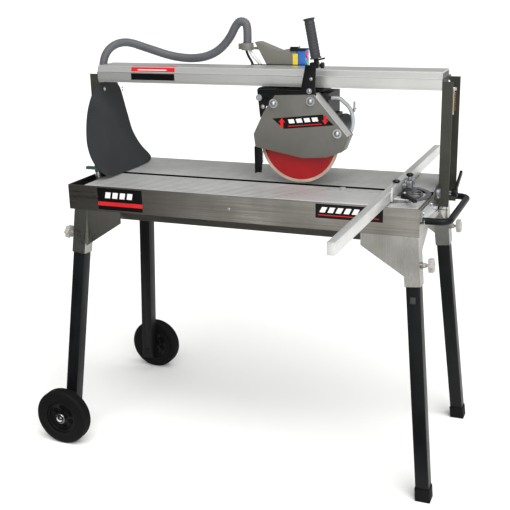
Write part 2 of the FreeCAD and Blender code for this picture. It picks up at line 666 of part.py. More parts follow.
def make_motor():
    """Motor with its mounting block over it and a start capacitor beside it."""
    y0 = guard_back_y
    y1 = y0 + motor_length
    radius = motor_diameter / 2
    centre = (blade_x, blade_z)

    def ring(a, b, outer, inner=0.0):
        return rod((centre[0], a, centre[1]), (centre[0], b, centre[1]), outer, inner)

    shell = ring(y0, y1, radius - 8, radius - 12)
    fins = [ring(y0 + 42 + 12 * i, y0 + 46 + 12 * i, radius, radius - 9) for i in range(9)]
    nose = ring(y0, y0 + 10, radius, 18)
    tail = ring(y1 - 46, y1, radius, radius - 5)
    cover = ring(y1 - 5, y1, radius - 4)
    block_low = blade_z + radius - 18
    mount = block(76, mount_x, y0, y0 + 118, block_low, table + 278).cut(ring(y0 - 1, y1, radius - 9))
    can_x, can_z = 244.0, table + 172
    can = rod((can_x, y0 + 6, can_z), (can_x, y0 + 128, can_z), 28.0)
    saddle = block(mount_x - 20, can_x, y0 + 20, y0 + 96, can_z + 4, block_low + 30)
    keep("motor_casing", fuse(shell, nose, tail, cover, mount, saddle, can, *fins))
    keep("motor_stator", ring(y0 + 50, y1 - 60, radius - 12, 30))
    shaft = ring(y0 - 48, y1 - 20, 8.0)
    seat = ring(-44, 4, blade_bore / 2)
    rotor = ring(y0 + 48, y1 - 58, 29.0)
    keep("arbor", fuse(shaft, seat, rotor))
    half = blade_thickness / 2
    disc_y0, disc_y1 = slot_y - half, slot_y + half
    disc = ring(disc_y0, disc_y1, blade_radius - rim_width, blade_bore / 2)
    keep("blade_disc", disc)
    keep("blade_rim", ring(disc_y0 - 0.3, disc_y1 + 0.3, blade_radius, blade_radius - rim_width))
    inner_flange = ring(disc_y1, disc_y1 + 8, flange_diameter / 2, blade_bore / 2)
    outer_flange = ring(disc_y0 - 7, disc_y0, flange_diameter / 2, blade_bore / 2)
    nut = prism([(centre[0] + 19 * math.cos(math.radians(60 * i)), centre[1] + 19 * math.sin(math.radians(60 * i)))
                 for i in range(6)], "y", disc_y0 - 19, disc_y0 - 7).cut(ring(-60, 0, blade_bore / 2))
    keep("blade_flanges", inner_flange, outer_flange, nut)


# ---- fence, gauge and side support ----
def make_fence():
    low, high = table_height, table_height + gauge_sheet
    spread = 104.0
    plate = Part.makeCylinder(gauge_radius + 6, gauge_sheet, V(fence_x, gauge_y, low))
    plate = plate.common(block(fence_x - 14, half_length - 4, gauge_y - spread, gauge_y + spread, low, high))
    windows = []
    for turn in (28.0, -4.0):
        a = math.radians(turn)
        px, py = fence_x + 62 * math.cos(a), gauge_y + 62 * math.sin(a)
        windows.append(rod((px, py, low - 1), (px, py, high + 1), 13.0))
    slot = rod((fence_x, gauge_y, low - 1), (fence_x, gauge_y, high + 1), gauge_radius - 10, gauge_radius - 18)
    far = gauge_radius * 2
    wedge = [(fence_x, gauge_y)]
    for turn in (-72, -20, 22, 58):
        a = math.radians(turn)
        wedge.append((fence_x + far * math.cos(a), gauge_y + far * math.sin(a)))
    slot = slot.common(prism(wedge, "z", low - 1, high + 1))
    plate = plate.cut(slot).cut(Part.makeCompound(windows))
    pin = rod((fence_x, gauge_y, high - 1), (fence_x, gauge_y, fence_top + 10), 5.0)
    keep("gauge_plate", plate.fuse(pin).removeSplitter())

    half = fence_width / 2
    bar = block(fence_x - half, fence_x + half, fence_near, fence_far, fence_bottom, fence_top)
    hollow = block(fence_x - half + 2, fence_x + half - 2, fence_near + 2, fence_far - 2, fence_bottom + 2,
                   fence_top - 2)
    bush = rod((fence_x, gauge_y, fence_bottom), (fence_x, gauge_y, fence_top), 7.4)
    bore = rod((fence_x, gauge_y, fence_bottom - 2), (fence_x, gauge_y, fence_top + 2), 5.0 + running)
    hub_x, hub_y = lever_place()
    bracket = fuse(block(fence_x + half, hub_x + 14, hub_y - 14, hub_y + 14, fence_bottom, fence_bottom + 5),
                   block(fence_x + half, fence_x + half + 5, hub_y - 34, hub_y + 24, fence_bottom, fence_top + 8),
                   rod((hub_x, hub_y, low + contact_gap), (hub_x, hub_y, fence_bottom + 22), 3.4))
    keep("fence_bar", fuse(bar.cut(hollow), bush, bracket).cut(bore))
    lever_z = fence_bottom + 5 + contact_gap
    hub = rod((hub_x, hub_y, lever_z), (hub_x, hub_y, lever_z + 14), 11.0, 3.4 + running)
    arm = block(hub_x + 6, hub_x + 82, hub_y - 5, hub_y + 5, lever_z + 5, lever_z + 13)
    arm.rotate(V(hub_x, hub_y, 0), V(0, 0, 1), -56)
    keep("fence_lever", hub.fuse(arm.cut(rod((hub_x, hub_y, 0), (hub_x, hub_y, 2000), 9.0))).removeSplitter())

    px, py = support_pivot
    z0, thick = table_height + contact_gap, 3.6
    wing = prism([(136, -230), (282, -62), (298, -55), (316, -58), (412, -98), (442, -150), (440, -205),
                  (424, -230)], "z", z0, z0 + thick)
    keep("support_arm", wing.cut(rod((px, py, z0 - 1), (px, py, z0 + 9), 5.0 + running)))
    bolt = fuse(rod((px, py, table_height), (px, py, z0 + 6), 5.0),
                rod((px, py, z0 + thick + contact_gap), (px, py, z0 + 9), 9.0))
    keep("support_bolt", bolt)


support_pivot = (298.0, -72.0)      # of the swing-out side support


def lever_place():
    turn = math.radians(-60)
    ring = gauge_radius - 14
    return fence_x + ring * math.cos(turn), gauge_y + ring * math.sin(turn)


def make_tilt_lever():
    y, z = stud_place()
    x = post_outer + 4
    hub = rod((x, y, z), (x + 16, y, z), 13.0, tilt_stud_radius + running)
    arm = block(x + 4, x + 12, 10, 112, -6, 6)
    arm.rotate(V(0, 0, 0), V(1, 0, 0), 22)
    arm.translate(V(0, y, z))
    arm = arm.cut(rod((x - 1, y, z), (x + 20, y, z), 12.0))
    keep("tilt_lever", hub.fuse(arm).removeSplitter())


def write_parts():
    os.makedirs("parts", exist_ok=True)
    low, high = V(1e9, 1e9, 1e9), V(-1e9, -1e9, -1e9)
    for name, shape in nodes.items():
        if name in ("conduit",):
            continue
        b = shape.optimalBoundingBox(False)
        low = V(min(low.x, b.XMin), min(low.y, b.YMin), min(low.z, b.ZMin))
        high = V(max(high.x, b.XMax), max(high.y, b.YMax), max(high.z, b.ZMax))
    shift = V(-(low.x + high.x) / 2, -(low.y + high.y) / 2, -low.z)
    for name, shape in sorted(nodes.items()):
        moved = shape.copy()
        moved.translate(shift)
        bad = [s for s in moved.Solids if not s.isValid()]
        if bad or not moved.Solids:
            print("not sound:", name)
        moved.exportStep(f"parts/{name}.step")
    print("shift to the base centre", tuple(round(v, 4) for v in shift), "nodes", len(nodes))


make_tank()
make_panel("table_front", -half_width + sheet + panel_side_gap, slot_y - slot_width / 2, slot_y - slot_width / 2)
make_panel("table_rear", slot_y + slot_width / 2, half_width - sheet - panel_side_gap, slot_y + slot_width / 2)
make_end_fittings()
make_pump()
make_legs()
make_bridge()
make_carriage()
make_head()
make_fence()
make_tilt_lever()
write_parts()
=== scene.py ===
import json
import math

import bmesh
import bpy
from mathutils import Matrix, Vector

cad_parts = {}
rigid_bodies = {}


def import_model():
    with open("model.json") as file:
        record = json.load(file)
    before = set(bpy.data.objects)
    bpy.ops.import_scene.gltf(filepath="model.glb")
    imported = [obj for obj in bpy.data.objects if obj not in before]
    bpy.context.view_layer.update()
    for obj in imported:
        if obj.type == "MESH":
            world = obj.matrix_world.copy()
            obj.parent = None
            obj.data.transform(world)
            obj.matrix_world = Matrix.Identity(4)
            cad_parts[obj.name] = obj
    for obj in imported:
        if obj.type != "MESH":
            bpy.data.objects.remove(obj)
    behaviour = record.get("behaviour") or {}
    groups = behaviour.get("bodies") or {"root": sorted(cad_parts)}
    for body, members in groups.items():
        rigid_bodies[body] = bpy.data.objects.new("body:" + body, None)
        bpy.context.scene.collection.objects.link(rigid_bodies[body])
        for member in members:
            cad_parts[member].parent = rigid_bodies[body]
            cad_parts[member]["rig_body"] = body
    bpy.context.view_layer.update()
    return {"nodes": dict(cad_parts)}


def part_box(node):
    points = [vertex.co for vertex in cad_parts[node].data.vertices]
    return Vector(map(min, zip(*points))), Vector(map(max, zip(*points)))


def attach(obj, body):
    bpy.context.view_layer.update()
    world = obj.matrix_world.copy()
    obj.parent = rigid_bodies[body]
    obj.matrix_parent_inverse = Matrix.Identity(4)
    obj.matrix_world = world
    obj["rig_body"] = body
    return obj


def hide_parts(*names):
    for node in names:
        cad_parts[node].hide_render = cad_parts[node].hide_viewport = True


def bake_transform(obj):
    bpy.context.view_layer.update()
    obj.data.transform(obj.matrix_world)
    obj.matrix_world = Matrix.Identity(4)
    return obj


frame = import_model()
nodes = frame["nodes"]
tankMiddle = Vector((0.0203012, 0.092, 0.0))  # the tank's middle on the floor, in the frame
print("frame loaded:", len(nodes), "nodes")


# Millimetres from the tank's middle on the floor, to metres in the frame
def fromTank(x, y, z):
    return Vector((x, y, z)) / 1000 + tankMiddle


right, left, up = Vector((1, 0, 0)), Vector((-1, 0, 0)), Vector((0, 0, 1))
front, back = Vector((0, -1, 0)), Vector((0, 1, 0))


# camera and studio
cameraView = {  # metres, degrees and millimetres
    "place": (1.0999, -2.6064, 1.5243), "turn": -22.2116, "rise": -17.3633, "roll": -1.3935,
    "lens": 65.566, "sensor": 36,
}
studio = {  # the cards are blocks in millimetres from the tank's middle
    "sky": 0.46, "backdrop": 1.0, "floorColour": "#fafaf9", "floorRough": 0.85, "floorHalf": 60,
    "sunPlace": (2.4, -2.6, 6.0), "sunAim": (0, 0, 0.8), "sunPower": 3.2, "sunSpread": 60,
    "keyPlace": (2.6, -3.6, 2.2), "keyAim": (0.3, 0, 0.9), "keyPower": 45, "keySize": 2.4,
    "cards": [((-3600, -2300, 10), (-1150, -2290, 1700)), ((-1100, -1500, 4), (900, -460, 6)),
              ((-2300, -2280, 4), (-1120, -400, 6))],
}


def aimCamera(view):
    turn, rise, roll = (math.radians(view[key]) for key in ("turn", "rise", "roll"))
    ahead = Vector((math.sin(turn) * math.cos(rise), math.cos(turn) * math.cos(rise), math.sin(rise)))
    level = Vector((math.cos(turn), -math.sin(turn), 0))
    steep = level.cross(ahead)
    across = level * math.cos(roll) + steep * math.sin(roll)
    upright = steep * math.cos(roll) - level * math.sin(roll)
    data = bpy.data.cameras.new("camera")
    data.lens = view["lens"]
    data.sensor_width = view["sensor"]
    camera = bpy.data.objects.new("camera", data)
    turned = Matrix((across, upright, -ahead)).transposed().to_4x4()
    camera.matrix_world = Matrix.Translation(view["place"]) @ turned
    bpy.context.scene.collection.objects.link(camera)
    bpy.context.scene.camera = camera


aimCamera(cameraView)


# how a finish is put together
# A hex sRGB colour as the linear colour that the nodes want
def paint(hexColour):
    values = [int(hexColour[i:i + 2], 16) / 255 for i in (1, 3, 5)]
    return tuple(v / 12.92 if v <= 0.04045 else ((v + 0.055) / 1.055) ** 2.4 for v in values) + (1.0,)


def addNode(tree, kind, inputs=None, **settings):
    node = tree.nodes.new("ShaderNode" + kind)
    for key, value in settings.items():
        setattr(node, key, value)
    for key, value in (inputs or {}).items():
        if isinstance(value, bpy.types.NodeSocket):
            tree.links.new(value, node.inputs[key])
        else:
            node.inputs[key].default_value = value
    return node


def newFinish(name):
    material = bpy.data.materials.new(name)
    material.use_nodes = True
    tree = material.node_tree
    return material, tree, tree.nodes["Principled BSDF"]


metalWear = {  # patches a metre, then how the mix of lines and haze is read
    "hazePerMetre": 9.0, "linesPerMetreAlong": 4.0, "toneFrom": 0.12, "toneTo": 0.4,
    "roughFrom": 0.1, "roughTo": 0.42, "rougher": 0.1, "smoother": 0.05, "lineDepth": 0.0004,
}
grooveDustAndShade = {  # metres: half the grooves' pitch, and where the dust and painted shade start and stop fading
    "halfPitch": 0.008, "fadeFrom": 0.0012, "fadeTo": 0.0028, "strength": 0.75, "colour": "#6f6f6e",
}


# Rolled or extruded metal: fine lines one way and slow patches of haze
def brushedMetal(name, light, dark, look):
    material, tree, shader = newFinish(name)
    place = addNode(tree, "TexCoord").outputs["Object"]
    stretch = [1 / (look["lineMm"] / 1000)] * 3
    stretch["xyz".index(look["along"])] = metalWear["linesPerMetreAlong"]
    lined = addNode(tree, "Mapping", {"Vector": place, "Scale": stretch}).outputs["Vector"]
    lines = addNode(tree, "TexNoise", {"Vector": lined, "Scale": 1.0, "Detail": 3.0}).outputs["Fac"]
    hazeScale = metalWear["hazePerMetre"]
    haze = addNode(tree, "TexNoise", {"Vector": place, "Scale": hazeScale, "Detail": 4.0}).outputs["Fac"]
    mixed = addNode(tree, "Math", {0: lines, 1: haze}, operation="MULTIPLY").outputs[0]
    tone = addNode(tree, "MapRange", {"Value": mixed, "From Min": metalWear["toneFrom"],
                                      "From Max": metalWear["toneTo"]}).outputs["Result"]
    colour = addNode(tree, "Mix", {"Factor": tone, "A": paint(dark), "B": paint(light)}, data_type="RGBA")
    coloured = colour.outputs["Result"]
    if "grooveAt" in look:  # wet dust and painted shade in the table's grooves, drawn 5 mm wide so that it shows
        across = addNode(tree, "SeparateXYZ", {"Vector": place}).outputs["Y"]
        away = addNode(tree, "Math", {0: across, 1: look["grooveAt"] / 1000}, operation="SUBTRACT")
        fold = addNode(tree, "Math", {0: away.outputs[0], 1: grooveDustAndShade["halfPitch"]}, operation="PINGPONG")
        dustAndShade = addNode(tree, "MapRange", {"Value": fold.outputs[0], "From Min": grooveDustAndShade["fadeFrom"],
                                          "From Max": grooveDustAndShade["fadeTo"], "To Min": grooveDustAndShade["strength"],
                                          "To Max": 0.0})
        dustedAndShaded = addNode(tree, "Mix", {"Factor": dustAndShade.outputs["Result"], "A": coloured,
                                      "B": paint(grooveDustAndShade["colour"])}, data_type="RGBA")
        coloured = dustedAndShaded.outputs["Result"]
    tree.links.new(coloured, shader.inputs["Base Color"])
    rough = addNode(tree, "MapRange", {"Value": mixed, "From Min": metalWear["roughFrom"],
                                       "From Max": metalWear["roughTo"],
                                       "To Min": look["rough"] + metalWear["rougher"],
                                       "To Max": look["rough"] - metalWear["smoother"]})
    tree.links.new(rough.outputs["Result"], shader.inputs["Roughness"])
    bump = addNode(tree, "Bump", {"Height": lines, "Strength": look["bump"],
                                  "Distance": metalWear["lineDepth"]})
    tree.links.new(bump.outputs["Normal"], shader.inputs["Normal"])
    shader.inputs["Metallic"].default_value = look.get("metallic", 1.0)
    return material


coatWear = {  # patches a metre, then how the two noises are read
    "slowPerMetre": 14.0, "slowFrom": 0.3, "slowTo": 0.7, "roughChange": 0.06,
    "scuffsPerMetre": 55.0, "scuffRough": 0.75, "scuffFrom": 0.62, "scuffTo": 0.74, "coatRough": 0.15,
}


# Powder coat, cast paint or moulded plastic and rubber: a fine grain, slow changes of tone and scuffs
def coated(name, light, dark, look):
    material, tree, shader = newFinish(name)
    place = addNode(tree, "TexCoord").outputs["Object"]
    grainScale = 1000 / look["grainMm"]
    grain = addNode(tree, "TexNoise", {"Vector": place, "Scale": grainScale, "Detail": 2.0}).outputs["Fac"]
    slowScale = coatWear["slowPerMetre"]
    slow = addNode(tree, "TexNoise", {"Vector": place, "Scale": slowScale, "Detail": 5.0}).outputs["Fac"]
    slowRange = {"Value": slow, "From Min": coatWear["slowFrom"], "From Max": coatWear["slowTo"]}
    tone = addNode(tree, "MapRange", slowRange).outputs["Result"]
    base = addNode(tree, "Mix", {"Factor": tone, "A": paint(dark), "B": paint(light)}, data_type="RGBA")
    scuffs = addNode(tree, "TexNoise", {"Vector": place, "Scale": coatWear["scuffsPerMetre"], "Detail": 8.0,
                                        "Roughness": coatWear["scuffRough"]}).outputs["Fac"]
    worn = addNode(tree, "MapRange", {"Value": scuffs, "From Min": coatWear["scuffFrom"],
                                      "From Max": coatWear["scuffTo"], "To Max": look["scuff"]})
    colour = addNode(tree, "Mix", {"Factor": worn.outputs["Result"], "A": base.outputs["Result"],
                                   "B": paint(look["scuffColour"])}, data_type="RGBA")
    tree.links.new(colour.outputs["Result"], shader.inputs["Base Color"])
    rough = addNode(tree, "MapRange", {**slowRange, "To Min": look["rough"] - coatWear["roughChange"],
                                       "To Max": look["rough"] + coatWear["roughChange"]})
    tree.links.new(rough.outputs["Result"], shader.inputs["Roughness"])
    bump = addNode(tree, "Bump", {"Height": grain, "Strength": look["bump"],
                                  "Distance": look["grainMm"] / 4000})  # a quarter of a grain deep
    tree.links.new(bump.outputs["Normal"], shader.inputs["Normal"])
    shader.inputs["IOR"].default_value = look.get("ior", 1.5)
    shader.inputs["Specular IOR Level"].default_value = look.get("specular", 0.5)
    shader.inputs["Coat Weight"].default_value = look.get("coat", 0.0)
    shader.inputs["Coat Roughness"].default_value = coatWear["coatRough"]
    return material


finishes = {
    # stainless sheet: mill lines along the tank, reflections smeared across them
    "stainless": brushedMetal("brushedStainless", "#8d8a84", "#75726b",
        {"lineMm": 1.6, "along": "x", "rough": 0.3, "bump": 0.12}),
    # folded sockets: the same lines upright, and a lighter sheen
    "socketSteel": brushedMetal("brushedStainlessUpright", "#a7a6a1", "#8d8c86",
        {"lineMm": 1.6, "along": "z", "rough": 0.3, "bump": 0.12}),
    # extruded aluminium: die lines along it, dull where tiles rub, grey dust and painted shade in its grooves
    "table": brushedMetal("millAluminium", "#d2d2d1", "#b9b9b7",
        {"lineMm": 1.2, "along": "x", "rough": 0.46, "bump": 0.15, "metallic": 0.5, "grooveAt": 55.0}),
    # the same aluminium, with its dust and painted shade where the rear panel's grooves are
    "tableRear": brushedMetal("millAluminiumRear", "#d2d2d1", "#b9b9b7",
        {"lineMm": 1.2, "along": "x", "rough": 0.46, "bump": 0.15, "metallic": 0.5, "grooveAt": 79.0}),
    # satin anodised rail: an even, pale sheen with hardly any line
    "rail": brushedMetal("satinAnodisedAluminium", "#d6d6d4", "#c6c6c4",
        {"lineMm": 1.0, "along": "x", "rough": 0.4, "bump": 0.06, "metallic": 0.85}),
    # anodised fence bar: the palest metal, lines across the table
    "fence": brushedMetal("anodisedFence", "#dededc", "#cfcfcd",
        {"lineMm": 1.0, "along": "y", "rough": 0.42, "bump": 0.05, "metallic": 0.85}),
    # zinc plate on bolts and brackets: cloudy grey with blurred reflections
    "zinc": brushedMetal("brightZincPlate", "#b9babb", "#9fa1a3",
        {"lineMm": 5.0, "along": "y", "rough": 0.3, "bump": 0.03}),
    # aluminium sheet of the side support: dull where tiles slide
    "supportPlate": brushedMetal("dullAluminiumSheet", "#c6c6c5", "#b0b0af",
        {"lineMm": 1.4, "along": "x", "rough": 0.5, "bump": 0.05, "metallic": 0.5}),
    # plated sheet under the angle scale: darker than the metal round it
    "scalePlate": brushedMetal("darkenedZincPlate", "#848589", "#696a6e",
        {"lineMm": 2.0, "along": "x", "rough": 0.36, "bump": 0.05}),
    # ground steel: fine grinding lines and tighter highlights
    "steel": brushedMetal("groundSteel", "#b5b3af", "#97958f",
        {"lineMm": 1.0, "along": "y", "rough": 0.28, "bump": 0.06}),
    # polished chrome: near a mirror, with no line to see
    "chrome": brushedMetal("polishedChrome", "#e2e2e2", "#d2d2d2",
        {"lineMm": 8.0, "along": "z", "rough": 0.13, "bump": 0.01}),
    # enamelled winding: warm and ridged
    "copper": brushedMetal("enamelledCopperWinding", "#a9623a", "#7c4327",
        {"lineMm": 1.5, "along": "y", "rough": 0.36, "bump": 0.5}),
    # spring wire: warm yellow, smooth
    "brass": brushedMetal("springBrass", "#b7954e", "#8f7135",
        {"lineMm": 2.0, "along": "z", "rough": 0.3, "bump": 0.03}),
    # powder coat on the posts: slightly pebbled, dark olive, paler where it has been handled
    "olive": coated("olivePowderCoat", "#393a33", "#2f302a",
        {"grainMm": 1.4, "rough": 0.4, "bump": 0.12,
         "scuff": 0.2, "scuffColour": "#5c5d54", "specular": 0.3}),
    # powder coat on the guard: warm grey with soft highlights
    "guard": coated("greyPowderCoat", "#64635e", "#5a5954",
        {"grainMm": 1.4, "rough": 0.4, "bump": 0.1,
         "scuff": 0.15, "scuffColour": "#7c7b76", "specular": 0.35}),
    # black powder coat: deep, with little shine
    "black": coated("blackPowderCoat", "#121315", "#0c0d0e",
        {"grainMm": 1.2, "rough": 0.42, "bump": 0.12,
         "scuff": 0.15, "scuffColour": "#2a2b2e", "specular": 0.15}),
    # paler grey coat of the switch bracket, a touch shinier
    "bracket": coated("greyBracketCoat", "#75746d", "#6a6962",
        {"grainMm": 1.4, "rough": 0.4, "bump": 0.1,
         "scuff": 0.15, "scuffColour": "#8a8983", "specular": 0.4}),
    # black PVC sheath: smooth, with a soft shine
    "blackCable": coated("blackPvcSheath", "#18191a", "#111213",
        {"grainMm": 1.0, "rough": 0.4, "bump": 0.05,
         "scuff": 0.15, "scuffColour": "#343536", "specular": 0.25}),
    # painted casting: coarse grain and dull highlights
    "motor": coated("castMotorPaint", "#232427", "#18191b",
        {"grainMm": 2.2, "rough": 0.5, "bump": 0.3,
         "scuff": 0.25, "scuffColour": "#3c3e41", "specular": 0.25}),
    # lacquered steel: even red, rubbed in places
    "redBlade": coated("redBladeLacquer", "#aa1a1e", "#96151a",
        {"grainMm": 2.0, "rough": 0.4, "bump": 0.05,
         "scuff": 0.25, "scuffColour": "#b04642", "specular": 0.25}),
    # sintered diamond grit: warm beige, coarse enough to sparkle
    "diamond": coated("sinteredDiamondRim", "#cbb8a4", "#a08f7c",
        {"grainMm": 0.9, "rough": 0.55, "bump": 0.9, "scuff": 0.6, "scuffColour": "#8a7b6a"}),
    # moulded rubber: matt black
    "rubber": coated("mouldedRubber", "#0f1010", "#0a0a0a",
        {"grainMm": 1.0, "rough": 0.7, "bump": 0.35,
         "scuff": 0.2, "scuffColour": "#242424", "specular": 0.12}),
    # sheet rubber of the curtain: dull dark grey with paler scuffs
    "sheetRubber": coated("sheetRubber", "#2e2f31", "#242527",
        {"grainMm": 1.6, "rough": 0.6, "bump": 0.3,
         "scuff": 0.25, "scuffColour": "#444547", "specular": 0.25}),
    # PVC conduit: mid grey, a soft highlight on each rib
    "conduit": coated("greyPvcConduit", "#5a5b5f", "#4c4d51",
        {"grainMm": 1.0, "rough": 0.45, "bump": 0.1,
         "scuff": 0.2, "scuffColour": "#7c7e83", "specular": 0.4}),
    # black ABS: finely textured
    "blackPlastic": coated("blackAbs", "#141516", "#0e0f10",
        {"grainMm": 0.8, "rough": 0.4, "bump": 0.2,
         "scuff": 0.12, "scuffColour": "#2e3031", "specular": 0.2}),
    # ivory nylon: dulled and grubby from hands
    "ivoryPlastic": coated("ivoryNylon", "#a5a39b", "#918f87",
        {"grainMm": 1.0, "rough": 0.42, "bump": 0.1, "scuff": 0.3, "scuffColour": "#7b786e"}),
    # dark green nylon: a thin gloss
    "greenPlastic": coated("greenNylon", "#14584a", "#0e4a3d",
        {"grainMm": 1.0, "rough": 0.36, "bump": 0.1, "scuff": 0.1, "scuffColour": "#2a6b5d", "coat": 0.3}),
    # blue ABS: smooth, with a thin gloss
    "bluePlastic": coated("blueAbs", "#2f6fc4", "#2661b3",
        {"grainMm": 1.0, "rough": 0.32, "bump": 0.06, "scuff": 0.1, "scuffColour": "#5b8fd6", "coat": 0.3}),
    # printed plate: flat yellow
    "yellowPlate": coated("yellowPrintedPlate", "#e8cf3c", "#dcc233",
        {"grainMm": 1.0, "rough": 0.35, "bump": 0.03, "scuff": 0.2, "scuffColour": "#efe08a"}),
    # green ABS: bright and glossy
    "greenPlasticButton": coated("greenButtonAbs", "#2fa562", "#279456",
        {"grainMm": 1.0, "rough": 0.3, "bump": 0.05, "scuff": 0.1, "scuffColour": "#5fc08a", "coat": 0.4}),
    # red ABS: bright and glossy
    "redPlastic": coated("redAbs", "#d52b3a", "#c42432",
        {"grainMm": 1.0, "rough": 0.3, "bump": 0.05, "scuff": 0.1, "scuffColour": "#e2606c", "coat": 0.4}),
    # grip rubber: dark grey and dull, so that its ribs read softly
    "gripRubber": coated("ribbedGripRubber", "#3a3b3d", "#2d2e30",
        {"grainMm": 1.0, "rough": 0.6, "bump": 0.3,
         "scuff": 0.2, "scuffColour": "#4c4d4f", "specular": 0.35}),
    # PVC hose: milky, with a wet gloss
    "hose": coated("milkyPvcHose", "#b4b8ba", "#9fa4a7",
        {"grainMm": 1.0, "rough": 0.28, "bump": 0.05, "scuff": 0.1, "scuffColour": "#cfd2d3", "coat": 0.4}),
    # white PVC sheath: smooth, dulled a little
    "whiteCable": coated("whitePvcSheath", "#e4e4e2", "#d6d6d3",
        {"grainMm": 1.0, "rough": 0.4, "bump": 0.05, "scuff": 0.2, "scuffColour": "#bdbdb9"}),
    # black vinyl: thin, nearly glossy film
    "labelBlack": coated("blackVinyl", "#0d0d0e", "#090909",
        {"grainMm": 3.0, "rough": 0.35, "bump": 0.02,
         "scuff": 0.1, "scuffColour": "#262626", "specular": 0.12}),
    # red vinyl: the same film, strong red
    "labelRed": coated("redVinyl", "#c81f23", "#bb1b1f",
        {"grainMm": 3.0, "rough": 0.35, "bump": 0.02,
         "scuff": 0.12, "scuffColour": "#d24548", "specular": 0.2}),
    # white vinyl: the same film, off-white
    "labelWhite": coated("whiteVinyl", "#e4e4e2", "#d9d9d7",
        {"grainMm": 3.0, "rough": 0.35, "bump": 0.02,
         "scuff": 0.12, "scuffColour": "#c4c4c2", "specular": 0.2}),
}
print("finishes made:", len(finishes))


# pieces from bmesh
def addPiece(name, mesh, names, body=None, smoothTo=35):
    bmesh.ops.remove_doubles(mesh, verts=mesh.verts, dist=1e-6)
    bmesh.ops.recalc_face_normals(mesh, faces=mesh.faces)
    data = bpy.data.meshes.new(name)
    mesh.to_mesh(data)
    mesh.free()
    for key in names:
        data.materials.append(finishes[key])
    data.shade_smooth()
    data.set_sharp_from_angle(angle=math.radians(smoothTo))
    piece = bpy.data.objects.new(name, data)
    bpy.context.scene.collection.objects.link(piece)
    if body:
        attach(piece, body)
    return piece


# The points that a NURBS spline with these control points passes through
def splineLine(points, name):
    curve = bpy.data.curves.new(name, "CURVE")
    curve.dimensions = "3D"
    spline = curve.splines.new("NURBS")
    spline.points.add(len(points) - 1)
    for point, place in zip(spline.points, points):
        point.co = (*place, 1)
    spline.order_u = 3
    spline.use_endpoint_u = True
    spline.resolution_u = 16
    holder = bpy.data.objects.new(name, curve)
    line = [v.co.copy() for v in bpy.data.meshes.new_from_object(holder).vertices]
    bpy.data.objects.remove(holder)
    return line


# The line walked in equal steps
def evenSteps(line, step):
    lengths = [0.0]
    for a, b in zip(line, line[1:]):
        lengths.append(lengths[-1] + (b - a).length)
    count = max(2, round(lengths[-1] / step))
    walked, part = [], 0
    for index in range(count + 1):
        goal = lengths[-1] * index / count
        while part < len(line) - 2 and lengths[part + 1] < goal:
            part += 1
        share = (goal - lengths[part]) / max(lengths[part + 1] - lengths[part], 1e-9)
        walked.append(line[part].lerp(line[part + 1], share))
    return walked, lengths[-1]


# Extrudes a ring along the line, step by step
def sweptTube(mesh, line, radiusAt, sides):
    ahead = (line[1] - line[0]).normalized()
    turn = ahead.to_track_quat("Z", "Y")
    last = Matrix.Translation(line[0]) @ turn.to_matrix().to_4x4() @ Matrix.Scale(radiusAt(0), 4)
    ring = bmesh.ops.create_circle(mesh, cap_ends=False, segments=sides, radius=1.0, matrix=last)["verts"]
    edges = list({e for v in ring for e in v.link_edges})
    bmesh.ops.contextual_create(mesh, geom=edges)
    for index in range(1, len(line)):
        after = line[min(index + 1, len(line) - 1)] - line[index - 1]
        turn = ahead.rotation_difference(after.normalized()) @ turn
        ahead = after.normalized()
        here = Matrix.Translation(line[index]) @ turn.to_matrix().to_4x4() @ Matrix.Scale(radiusAt(index), 4)
        grown = bmesh.ops.extrude_edge_only(mesh, edges=edges)["geom"]
        edges = [g for g in grown if isinstance(g, bmesh.types.BMEdge)]
        moved = [g for g in grown if isinstance(g, bmesh.types.BMVert)]
        bmesh.ops.transform(mesh, matrix=here @ last.inverted(), verts=moved)
        last = here
    bmesh.ops.contextual_create(mesh, geom=edges)


# conduit from the left post to the head: corrugated PVC, held at both ends
conduit = {"diameter": 0.028, "ribPitch": 0.0056, "ribDepth": 0.0011, "sides": 18}
conduitRoute = [  # control points in the frame, metres
    (-0.5687, 0.152, 1.040), (-0.5687, 0.154, 1.150), (-0.5717, 0.174, 1.252),
    (-0.5157, 0.212, 1.292), (-0.4197, 0.220, 1.262), (-0.3297, 0.222, 1.236),
    (-0.2417, 0.220, 1.231), (-0.1757, 0.221, 1.250), (-0.1267, 0.220, 1.292),
    (-0.0961, 0.220, 1.3488), (-0.0749, 0.220, 1.3525), (-0.0589, 0.220, 1.3381),
    (-0.0627, 0.220, 1.284),
]


def makeConduit():
    line, length = evenSteps(splineLine(conduitRoute, "conduitLine"), conduit["ribPitch"] / 4)
    mesh = bmesh.new()
    high = conduit["diameter"] / 2
    low = high - conduit["ribDepth"]
    sweptTube(mesh, line, lambda index: low if index % 4 in (2, 3) else high, conduit["sides"])
    piece = addPiece("conduitHose", mesh, ["conduit"], smoothTo=60)
    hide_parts("conduit")
    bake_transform(piece)
    print("conduit:", round(length, 3), "m")


makeConduit()


# curtain: a bell-shaped rubber sheet, hung from the left post and curling in at its foot
# Millimetres, and for the flat size its width, its spare length and how much of that rectangle is rubber
curtain = {
    "sheetMm": 3.0, "topX": -567.0, "footX": -472.0, "curl": 1.25, "rippleMm": 2.5, "rippleLength": 46.0,
    "edgeMm": 9.0, "low": 871.0, "high": 1158.0, "flatWidth": 0.365, "spare": 1.12, "filled": 0.75,
}
curtainOutline = [  # millimetres across and up
    (-12, 1157), (-66, 1121), (-111, 1080), (-147, 1037), (-180, 990), (-191, 953), (-186, 925),
    (-166, 896), (-124, 872), (0, 871), (130, 872), (154, 880), (161, 893), (127, 935),
    (112, 987), (121, 1030), (136, 1157),
]


